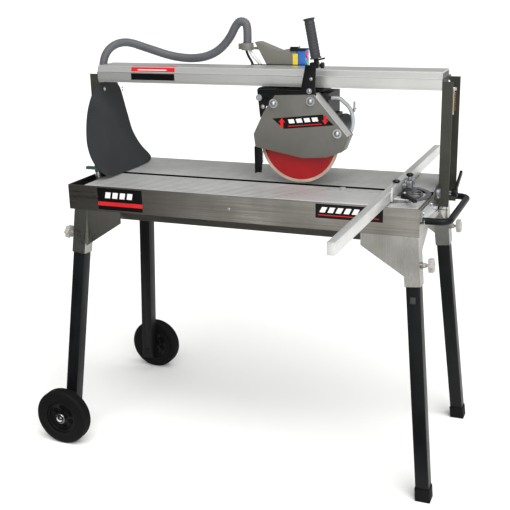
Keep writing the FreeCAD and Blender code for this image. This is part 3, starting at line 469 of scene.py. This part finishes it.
def makeCurtain():
    mesh = bmesh.new()
    verts = [mesh.verts.new(fromTank(0, y, z)) for y, z in curtainOutline]
    mesh.faces.new(verts)
    bmesh.ops.subdivide_edges(mesh, edges=mesh.edges[:], cuts=5, use_grid_fill=False)
    for turn in range(5):  # rounds the outline's corners
        bmesh.ops.smooth_vert(mesh, verts=mesh.verts[:], factor=0.5,
                              use_axis_x=True, use_axis_y=True, use_axis_z=True)
    for axis, low, high, step in ((1, -170, 230, 16), (2, 871, 1160, 14)):
        normal = back if axis == 1 else up
        for level in range(low + step, high, step):
            bmesh.ops.bisect_plane(mesh, geom=mesh.verts[:] + mesh.edges[:] + mesh.faces[:],
                                   plane_co=fromTank(*(normal * level)), plane_no=normal, dist=1e-6)
    low, high = curtain["low"], curtain["high"]
    for v in mesh.verts:
        y, z = (v.co.y - tankMiddle.y) * 1000, v.co.z * 1000
        fall = min(max((high - z) / (high - low), 0.0), 1.0)
        sway = curtain["rippleMm"] * fall * math.sin(y / curtain["rippleLength"])
        edge = curtain["edgeMm"] * fall * fall * max(0.0, (abs(y + 20) - 100) / 90) ** 2
        x = curtain["topX"] + (curtain["footX"] - curtain["topX"]) * fall ** curtain["curl"] + sway + edge
        v.co.x = x / 1000 + tankMiddle.x
    area = sum(f.calc_area() for f in mesh.faces)
    skin = bmesh.ops.solidify(mesh, geom=mesh.faces[:], thickness=curtain["sheetMm"] / 1000)
    piece = addPiece("curtainSheet", mesh, ["sheetRubber"], smoothTo=50)
    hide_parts("curtain")
    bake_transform(piece)
    print("curtain area:", round(area, 4), "faces", len(skin["geom"]))


makeCurtain()


# small fasteners and spun shapes
# Spins a profile of (radius, along) in millimetres round an axis through centre
def spun(mesh, profile, centre, axis, steps=24):
    turned = axis.to_track_quat("Z", "Y").to_matrix().to_4x4()
    into = Matrix.Translation(centre) @ turned
    verts = [mesh.verts.new(into @ Vector((r / 1000, 0, z / 1000))) for r, z in profile]
    edges = [mesh.edges.new(pair) for pair in zip(verts, verts[1:])]
    bmesh.ops.spin(mesh, geom=verts + edges, cent=centre, axis=axis, dvec=(0, 0, 0), angle=2 * math.pi,
                   steps=steps, use_merge=True, use_duplicate=False)


dome = {"washerMm": 1.4, "washerWide": 1.35, "boltHigh": 0.7}  # the last two are shares of the head's radius


# A washer with a domed head on it
def domeProfile(radius, height, washer=dome["washerMm"]):
    wide = radius * dome["washerWide"]
    rise = [(0.0, washer + height)]
    for index in range(1, 7):
        turn = math.pi / 2 * index / 6
        rise.append((radius * math.sin(turn), washer + height * math.cos(turn)))
    return rise + [(wide, washer), (wide, 0.0), (0.0, 0.0)]


fasteners = {  # body, finish, and bolts by centre, direction and head radius in millimetres
    "tankBolts": ("tank", "zinc", [
        (fromTank(-8, -232, 828), front, 3.5), (fromTank(-567, -150, 830), left, 4.0),
        (fromTank(-567, 150, 830), left, 4.0), (fromTank(-8, 232, 828), back, 3.5),
        (fromTank(-300, 232, 828), back, 3.5), (fromTank(300, 232, 828), back, 3.5)]),
    "headBolts": ("head", "zinc", [
        (fromTank(36.5, -50, 1109), front, 4.6), (fromTank(186, -50, 1160), front, 6.0),
        (fromTank(192, -50, 1196), front, 3.6)]),
    "curtainBolts": ("bridge", "zinc", [
        (fromTank(-559, 18, 1139), right, 5.0), (fromTank(-557, 132, 1130), right, 2.6),
        (fromTank(-554, 128, 1121), right, 2.6)]),
    "endBolts": ("tank", "zinc", [
        (fromTank(570, -91, 850), right, 5.0), (fromTank(570, -198, 850), right, 5.0),
        (fromTank(570, 120, 838), right, 5.0), (fromTank(-570, -91, 850), left, 5.0),
        (fromTank(-570, 120, 838), left, 5.0)]),
    "postBolts": ("bridge", "zinc", [
        (fromTank(574, 24, 1180), right, 6.0), (fromTank(574, 90, 1180), right, 6.0),
        (fromTank(-574, 24, 1180), left, 6.0), (fromTank(-574, 90, 1180), left, 6.0)]),
}


def makeFasteners():
    for name, (body, finish, places) in fasteners.items():
        mesh = bmesh.new()
        for centre, axis, radius in places:
            spun(mesh, domeProfile(radius, radius * dome["boltHigh"]), centre, axis, 16)
        addPiece(name, mesh, [finish], body)


makeFasteners()


# CAD nodes given rolled edges: a merged copy, bevelled where it turns sharply
rolledEdges = {  # millimetres
    "knob_front_left": 1.6, "knob_front_right": 1.6, "knob_rear_left": 1.6, "knob_rear_right": 1.6,
    "switch_block": 2.0, "start_button": 1.2, "stop_button": 1.2, "plunge_knob": 1.6,
    "tilt_lever": 1.2, "valve_lever": 1.6, "fence_lever": 1.6, "water_pump": 3.0,
    "leg_front_left": 2.0, "leg_front_right": 2.0, "leg_rear_left": 2.0, "leg_rear_right": 2.0,
    "foot_front_right": 2.0, "foot_rear_right": 2.0, "head_arm": 0.9, "carriage_plate": 0.8, "fence_bar": 1.2,
    "support_arm": 0.8, "gauge_plate": 0.6, "guard_front": 0.8, "switch_bracket": 0.6,
    "wheel_front_left": 1.2, "wheel_rear_left": 1.2, "water_tap": 0.8,
}
finishOfNode = {
    "tank_pan": "stainless", "table_front": "table", "table_rear": "tableRear",
    "leg_sockets": "socketSteel", "drain_plug": "rubber", "water_pump": "blackPlastic",
    "water_hose": "hose", "valve_body": "zinc", "pivot_plates": "zinc", "carry_handle": "black",
    "gauge_plate": "scalePlate", "support_bolt": "ivoryPlastic", "post_left": "olive",
    "post_right": "olive", "rail": "rail", "carriage_plate": "black", "pivot_bolt": "zinc",
    "switch_bracket": "bracket", "switch_block": "bluePlastic", "switch_cables": "whiteCable",
    "rollers_left": "steel", "rollers_right": "steel", "start_button": "greenPlasticButton",
    "stop_button": "redPlastic", "motor_casing": "motor", "motor_stator": "copper",
    "guard_rear": "guard", "guard_front": "guard", "guard_nuts": "zinc", "head_arm": "black",
    "grip": "rubber", "splash_flap": "rubber", "water_tube": "hose", "plunge_knob": "blackPlastic",
    "water_tap": "chrome", "arbor": "steel", "blade_disc": "redBlade", "blade_rim": "diamond",
    "blade_flanges": "steel", "valve_lever": "greenPlastic", "tilt_lever": "black",
    "fence_bar": "fence", "fence_lever": "blackPlastic", "support_arm": "supportPlate",
    "curtain": "sheetRubber", "conduit": "conduit", "foot_front_right": "rubber",
    "foot_rear_right": "rubber",
}
for corner in ("front_left", "front_right", "rear_left", "rear_right"):
    finishOfNode["leg_" + corner] = "black"
    finishOfNode["knob_" + corner] = "ivoryPlastic"
for corner in ("front_left", "rear_left"):
    finishOfNode["tyre_" + corner] = "rubber"
    finishOfNode["wheel_" + corner] = "blackPlastic"


def finishNodes():
    for name, node in nodes.items():
        node.data.materials.clear()
        node.data.materials.append(finishes[finishOfNode[name]])


rolling = {"flatTurn": 1.0, "sharpTurn": 35, "segments": 2}  # degrees, and steps across an edge


# Rounds a mesh's edges by that many millimetres
def rollMesh(mesh, edges, width):
    bmesh.ops.bevel(mesh, geom=edges, offset=width / 1000, affect="EDGES", segments=rolling["segments"],
                    profile=0.5, material=-1, clamp_overlap=True)


def rollEdges():
    flatTurn, sharpTurn = math.radians(rolling["flatTurn"]), math.radians(rolling["sharpTurn"])
    for name, width in rolledEdges.items():
        mesh = bmesh.new()
        mesh.from_mesh(nodes[name].data)
        bmesh.ops.remove_doubles(mesh, verts=mesh.verts, dist=1e-5)
        bmesh.ops.dissolve_limit(mesh, angle_limit=flatTurn, verts=mesh.verts, edges=mesh.edges)
        sharp = [e for e in mesh.edges if len(e.link_faces) == 2 and e.calc_face_angle() > sharpTurn]
        rollMesh(mesh, sharp, width)
        piece = addPiece(name + ".rolled", mesh, [finishOfNode[name]], nodes[name]["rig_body"])
        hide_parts(name)


finishNodes()
rollEdges()
print("CAD nodes finished, rolled edges:", len(rolledEdges))


# tyres: moulded rubber with three tread grooves and a raised sidewall ring
# Millimetres, and the grooves' places as shares of the width
tyre = {"rim": 54.0, "grooveMm": 1.8, "grooveWidth": 2.4, "grooves": (0.32, 0.5, 0.68), "steps": 72}
wheelCorners = ("front_left", "rear_left")


def makeTyres():
    for corner in wheelCorners:
        low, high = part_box("tyre_" + corner)
        centre = Vector(((low[0] + high[0]) / 2, low[1], (low[2] + high[2]) / 2))
        outer = (high[2] - low[2]) * 500
        width = (high[1] - low[1]) * 1000
        rim = tyre["rim"]
        sidewall = [(rim, 0.0), (rim + 5, 0.4), (rim + 8, 1.6), (rim + 22, 1.2), (rim + 24, 0.2),
                    (rim + 27, 0.2), (outer - 8.5, 0.8), (outer - 3.0, 3.2), (outer - 0.6, 6.6), (outer, 9.5)]
        tread = []
        for part in tyre["grooves"]:
            middle = width * part
            wide, deep = tyre["grooveWidth"] / 2, tyre["grooveMm"]
            tread += [(outer, middle - wide - 0.8), (outer - deep, middle - wide),
                      (outer - deep, middle + wide), (outer, middle + wide + 0.8)]
        mirrored = [(r, width - y) for r, y in reversed(sidewall)]
        mesh = bmesh.new()
        spun(mesh, sidewall + tread + mirrored + [(rim, 0.0)], centre, back, tyre["steps"])
        piece = addPiece("tyreTread." + corner, mesh, ["rubber"], "wheel_" + corner, smoothTo=32)
        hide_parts("tyre_" + corner)


makeTyres()

# chrome caps over the axle ends
axleCap = {"radius": 14.6, "height": 8.5, "washer": 0.4, "gap": 0.0006}  # its gap off the tyre is in metres


def makeAxleCaps():
    profile = domeProfile(axleCap["radius"], axleCap["height"], axleCap["washer"])
    for corner in wheelCorners:
        low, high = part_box("wheel_" + corner)
        tyreLow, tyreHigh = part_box("tyre_" + corner)
        outward = front if corner == "front_left" else back
        faceY = tyreLow[1] - axleCap["gap"] if corner == "front_left" else tyreHigh[1] + axleCap["gap"]
        mesh = bmesh.new()
        spun(mesh, profile, Vector(((low[0] + high[0]) / 2, faceY, (low[2] + high[2]) / 2)), outward, 32)
        addPiece("axleCap." + corner, mesh, ["chrome"], "leg_" + corner)


makeAxleCaps()


# closed web inside each hub, so that its six windows are recesses
hubWeb = {"radius": 44, "half": 1}


def makeHubWebs():
    radius, half = hubWeb["radius"], hubWeb["half"]
    profile = [(0, -half), (radius, -half), (radius, half), (0, half)]
    for corner in wheelCorners:
        low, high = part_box("wheel_" + corner)
        mesh = bmesh.new()
        spun(mesh, profile, (Vector(low) + Vector(high)) / 2, back, 48)
        addPiece("hubWeb." + corner, mesh, ["rubber"], "wheel_" + corner)


makeHubWebs()


# grip: ribbed rubber sleeve with flanged ends
grip = {"low": (206, -47, 1255), "high": (184.5, -47, 1371), "radius": 14.4, "ribs": 11, "ribMm": 0.9}


def makeGrip():
    start, end = fromTank(*grip["low"]), fromTank(*grip["high"])
    axis = (end - start).normalized()
    length = (end - start).length * 1000
    radius = grip["radius"]
    profile = [(7.5, 0), (16.4, 0), (17.4, 1), (17.4, 3), (16.4, 4.2), (radius, 5)]
    step = (length - 20) / grip["ribs"]
    for index in range(grip["ribs"]):
        base = 9 + step * index
        profile += [(radius, base), (radius + grip["ribMm"], base + 1.6),
                    (radius + grip["ribMm"], base + step - 3.4), (radius, base + step - 1.8)]
    profile += [(radius, length - 6), (16.6, length - 4.6), (17.4, length - 3), (17.2, length - 1),
                (14, length + 0.4), (0, length + 0.8)]
    mesh = bmesh.new()
    spun(mesh, profile, start, axis, 40)
    piece = addPiece("gripSleeve", mesh, ["gripRubber"], "head", smoothTo=38)
    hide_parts("grip")


makeGrip()


# labels: thin printed vinyl in plain shapes, with no lettering
labelGap = 0.05  # millimetres off the surface


def labelPiece(name, body, corner, across, upward, finishNames, shapes):
    normal = across.cross(upward).normalized()
    mesh = bmesh.new()
    for outline, index, lift in shapes:
        corners = [corner + (across * u + upward * v + normal * labelGap) / 1000 for u, v in outline]
        face = mesh.faces.new([mesh.verts.new(point) for point in corners])
        face.material_index = index
        grown = bmesh.ops.extrude_face_region(mesh, geom=[face])["geom"]
        moved = [g for g in grown if isinstance(g, bmesh.types.BMVert)]
        bmesh.ops.translate(mesh, vec=normal * lift / 1000, verts=moved)
    return addPiece(name, mesh, finishNames, body)


def rectangle(u0, v0, u1, v1, lean=0.0):
    return [(u0, v0), (u1, v0), (u1 + lean, v1), (u0 + lean, v1)]


def arrow(u, v, size, sign):
    points = [(-0.16, -0.5), (0.16, -0.5), (0.16, 0.05), (0.36, 0.05), (0.0, 0.5), (-0.36, 0.05),
              (-0.16, 0.05)]
    return [(u + size * a * sign, v + size * b * sign) for a, b in points]


vinyl = ["labelBlack", "labelRed", "labelWhite"]
shoulder = Vector((0, 5, 17)).normalized()  # up the rail's slanted shoulder
guardWall = Vector((107, 0, -124)).normalized()  # down the guard's bright right-hand wall
labels = {  # body, corner, two directions, finishes, and shapes by outline, finish number and lift in mm
    "labelTankLeft": ("tank", fromTank(-460, -232, 794), right, up, vinyl, [
        (rectangle(0, 0, 158, 70), 0, 0.3), (rectangle(0, 13, 158, 26), 1, 0.5),
        *((rectangle(26 + 26 * i, 38, 44 + 26 * i, 57, 4), 2, 0.5) for i in range(4))]),
    "labelTankRight": ("tank", fromTank(264, -232, 823), right, up, vinyl, [
        (rectangle(0, 0, 199, 42), 0, 0.3), (rectangle(8, 8, 188, 10.5), 1, 0.5),
        *((rectangle(12 + 24 * i, 17, 28 + 24 * i, 33, 8), 2, 0.5) for i in range(7))]),
    "labelRailBlack": ("bridge", fromTank(-445, 2, 1174), right, up, vinyl, [
        (rectangle(0, 0, 157, 21), 0, 0.3)]),
    "labelRailRed": ("bridge", fromTank(-444, 2.9, 1201), right, shoulder, vinyl, [
        (rectangle(0, 0, 157, 13.5), 1, 0.3), (rectangle(24, 4, 128, 7), 2, 0.5)]),
    "labelRailTop": ("bridge", fromTank(-444, 9.5, 1217), right, back, vinyl, [
        (rectangle(0, 0, 157, 16), 1, 0.3)]),
    "labelGuard": ("head", fromTank(0, -52, 0), right, up, vinyl, [
        ([(105, 1044), (264, 1061), (227, 1092), (67, 1074)], 0, 0.3),
        (arrow(98, 1062, 30, 1), 1, 0.6), (arrow(236, 1076, 28, -1), 1, 0.6),
        ([(118, 1051), (226, 1062), (224, 1064.5), (118, 1053.5)], 1, 0.6),
        *(([(122 + 25 * i, 1061 + 2.7 * i), (140 + 25 * i, 1063 + 2.7 * i), (136 + 25 * i, 1075 + 2.7 * i),
            (118 + 25 * i, 1073 + 2.7 * i)], 2, 0.6) for i in range(4))]),
    "switchPlate": ("carriage", fromTank(76, 115.6, 1210), right, up, ["yellowPlate"], [
        (rectangle(0, 0, 17, 43), 0, 1.4)]),
    # painted highlight: a pale strip laid over the guard's right-hand wall, standing for the light that falls
    # on it
    "guardWallPaintedHighlight": ("head", fromTank(199.5, -52.3, 1150), guardWall, back, ["fence"], [
        (rectangle(1, 0, 162, 46), 0, 1.4)]),
}


def makeLabels():
    for name, row in labels.items():
        labelPiece(name, *row)


makeLabels()
print("labels made")


# spring and rod in the right post, that hold the rail's catch
catch = {  # millimetres from the tank's middle, and the spring's turns
    "x": 590.0, "y": 84.0, "low": 1092.0, "high": 1150.0, "coil": 6.5, "wire": 1.3, "turns": 8, "rod": 3.4,
}


def makeCatch():
    mesh = bmesh.new()
    low, high = (fromTank(catch["x"], catch["y"], catch[end]) for end in ("low", "high"))
    coilStart = Matrix.Translation(low + Vector((catch["coil"] / 1000, 0, 0)))
    turned = coilStart @ Matrix.Rotation(math.pi / 2, 4, "X")
    ring = bmesh.ops.create_circle(mesh, segments=8, radius=catch["wire"] / 1000, matrix=turned)["verts"]
    edges = list({e for v in ring for e in v.link_edges})
    steps = catch["turns"] * 16
    bmesh.ops.spin(mesh, geom=ring + edges, cent=low, axis=up, dvec=(high - low) / steps,
                   angle=2 * math.pi * catch["turns"], steps=steps, use_merge=False, use_duplicate=False)
    addPiece("catchSpring", mesh, ["brass"], "bridge")
    mesh = bmesh.new()
    rod, length = catch["rod"], catch["high"] - catch["low"]
    spun(mesh, [(0, -8), (rod, -8), (rod, length + 6), (8.5, length + 6), (9.5, length + 7),
                (9.5, length + 14), (8.0, length + 15.5), (0, length + 15.5)], low, up, 20)
    addPiece("catchRod", mesh, ["zinc"], "bridge")


makeCatch()


# small fittings: plates, brackets and levers
# A block between two corners, in millimetres from the tank's middle
def slab(mesh, low, high):
    middle = fromTank(*((a + b) / 2 for a, b in zip(low, high)))
    size = Matrix.Diagonal([(b - a) / 1000 for a, b in zip(low, high)] + [1])
    bmesh.ops.create_cube(mesh, size=1.0, matrix=Matrix.Translation(middle) @ size)


# Blocks with rolled edges, and rods with rounded ends
def fitting(name, finish, body, blocks, edge, rods=()):
    mesh = bmesh.new()
    for low, high in blocks:
        slab(mesh, low, high)
    if edge:
        rollMesh(mesh, mesh.edges[:], edge)
    for start, end, radius in rods:
        a, b = fromTank(*start), fromTank(*end)
        length = (b - a).length * 1000
        soft = radius * 0.35
        profile = [(0, 0), (radius - soft, 0), (radius, soft), (radius, length - soft),
                   (radius - soft, length), (0, length)]
        spun(mesh, profile, a, (b - a).normalized(), 20)
    return addPiece(name, mesh, [finish], body)


fittings = {  # finish, body, blocks by two corners, edge radius, and rods by two ends and a radius, in mm
    "flapPlate": ("black", "head", [((8.5, -49, 926), (30, -46.5, 985))], 0.8),
    "flapWiper": ("rubber", "head", [((9, -49.5, 903), (27, -47, 930))], 0.8),
    "bladeBracket": ("steel", "head", [((29, -48, 934), (33, -46, 972))], 0.6),
    "lockLever": ("blackPlastic", "head", [], 0, [((208, -47, 1251), (234, -47, 1257), 2.6)]),
    "switchHood": ("blackPlastic", "carriage", [
        ((68, 112.5, 1261), (95, 115.6, 1275)), ((84, 114, 1263), (118, 152, 1268))], 1.2),
    "fenceClamp": ("zinc", "fence", [
        ((474, -24, 878), (496, 22, 900)), ((473, -52, 884), (486, -26, 896))], 1.8,
        [((485, -1, 899), (485, -1, 912), 5.0)]),
    "fenceClampKnob": ("blackPlastic", "fence", [], 0, [
        ((462, -75, 904.4), (462, -75, 912), 12.0), ((485, -1, 908), (485, -1, 918), 11.0)]),
    "legPlug": ("gripRubber", "leg_front_right", [((549.5, -249.5, 596), (565.5, -246.5, 616))], 1.0),
}


def makeFittings():
    for name, row in fittings.items():
        fitting(name, *row)


makeFittings()


# the switch's two cables, from the conduit's end down behind the rail
cables = {  # finish, radius in millimetres, route from the tank's middle
    "cableWhite": ("whiteCable", 5.5, [
        (-78.5, 128, 1283), (-78.5, 128, 1256), (-30, 128, 1212), (-27, 128, 1172)]),
    "cableBlack": ("blackCable", 4.0, [
        (-90, 128, 1283), (-90, 128, 1256), (-60, 128, 1212), (-57, 128, 1172)]),
}


cableStep = 0.004  # metres between the rings of a cable


def makeCables():
    for name, (finish, radius, places) in cables.items():
        line = evenSteps(splineLine([fromTank(*place) for place in places], name), cableStep)[0]
        mesh = bmesh.new()
        sweptTube(mesh, line, lambda index: radius / 1000, 16)
        piece = addPiece(name, mesh, [finish], "carriage", smoothTo=60)
        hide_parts("switch_cables")


makeCables()

# painted shade: black strips on both walls of the cutting slot, standing for the shadow down in the slot
slotShadeStrips = {"x": (-510.5, 558.5), "z": (854.6, 867.6), "walls": (-36.9, -13.9), "thick": 0.8}


def makeSlotShadeStrips():
    (x0, x1), (z0, z1) = slotShadeStrips["x"], slotShadeStrips["z"]
    strips = [((x0, y, z0), (x1, y + slotShadeStrips["thick"], z1)) for y in slotShadeStrips["walls"]]
    fitting("slotShadeStrips", "rubber", "tank", strips, 0)


makeSlotShadeStrips()


# fan cowl on the motor's back end
fanCowl = {"x": 145, "z": 999.5, "radius": 69.0, "front": 166.0, "back": 214.0, "rings": 5, "ringStep": 10.5}


def makeFanCowl():
    radius, depth = fanCowl["radius"], fanCowl["back"] - fanCowl["front"]
    profile = [(radius - 1, 0), (radius, 1), (radius, depth - 7), (radius - 2, depth - 2),
               (radius - 7, depth)]
    for index in range(fanCowl["rings"]):
        outer = radius - 11 - index * fanCowl["ringStep"]
        profile += [(outer + 1, depth), (outer, depth - 3), (outer - 4, depth - 3), (outer - 5, depth)]
    profile += [(0, depth)]
    mesh = bmesh.new()
    spun(mesh, profile, fromTank(fanCowl["x"], fanCowl["front"], fanCowl["z"]), back, 64)
    addPiece("fanCowl", mesh, ["motor"], "head")


makeFanCowl()
print("fittings made")

# studio
floor = bmesh.new()
bmesh.ops.create_grid(floor, x_segments=2, y_segments=2, size=studio["floorHalf"])
floorPiece = addPiece("floor", floor, [])
floorFinish, _, floorShader = newFinish("studioFloor")
floorShader.inputs["Base Color"].default_value = paint(studio["floorColour"])
floorShader.inputs["Roughness"].default_value = studio["floorRough"]
floorPiece.data.materials.append(floorFinish)

# the sky lights the part, and the camera sees plain white behind it
world = bpy.data.worlds.new("studioSky")
world.use_nodes = True
sky = world.node_tree.nodes["Background"]
sky.inputs["Color"].default_value = (1, 1, 1, 1)
sky.inputs["Strength"].default_value = studio["sky"]
backdrop = addNode(world.node_tree, "Background", {"Color": (1, 1, 1, 1), "Strength": studio["backdrop"]})
seen = addNode(world.node_tree, "LightPath").outputs["Is Camera Ray"]
mixed = addNode(world.node_tree, "MixShader", {0: seen, 1: sky.outputs[0], 2: backdrop.outputs[0]})
world.node_tree.links.new(mixed.outputs[0], world.node_tree.nodes["World Output"].inputs["Surface"])
bpy.context.scene.world = world
bpy.context.scene.view_settings.view_transform = "Standard"


def addLight(name, kind, place, target, **settings):
    data = bpy.data.lights.new(name, kind)
    for key, value in settings.items():
        setattr(data, key, value)
    light = bpy.data.objects.new(name, data)
    aim = (Vector(target) - Vector(place)).to_track_quat("-Z", "Y")
    light.matrix_world = Matrix.Translation(place) @ aim.to_matrix().to_4x4()
    bpy.context.scene.collection.objects.link(light)


addLight("sun", "SUN", studio["sunPlace"], studio["sunAim"], energy=studio["sunPower"],
         angle=math.radians(studio["sunSpread"]))
addLight("softboxRight", "AREA", studio["keyPlace"], studio["keyAim"], energy=studio["keyPower"],
         size=studio["keySize"])

# dark cards at the front left and below, seen only in reflections
card = bmesh.new()
for low, high in studio["cards"]:
    slab(card, low, high)
cardPiece = addPiece("studioCard", card, ["black"])
for ray in ("visible_camera", "visible_diffuse", "visible_shadow"):
    setattr(cardPiece, ray, False)

print("scene made")
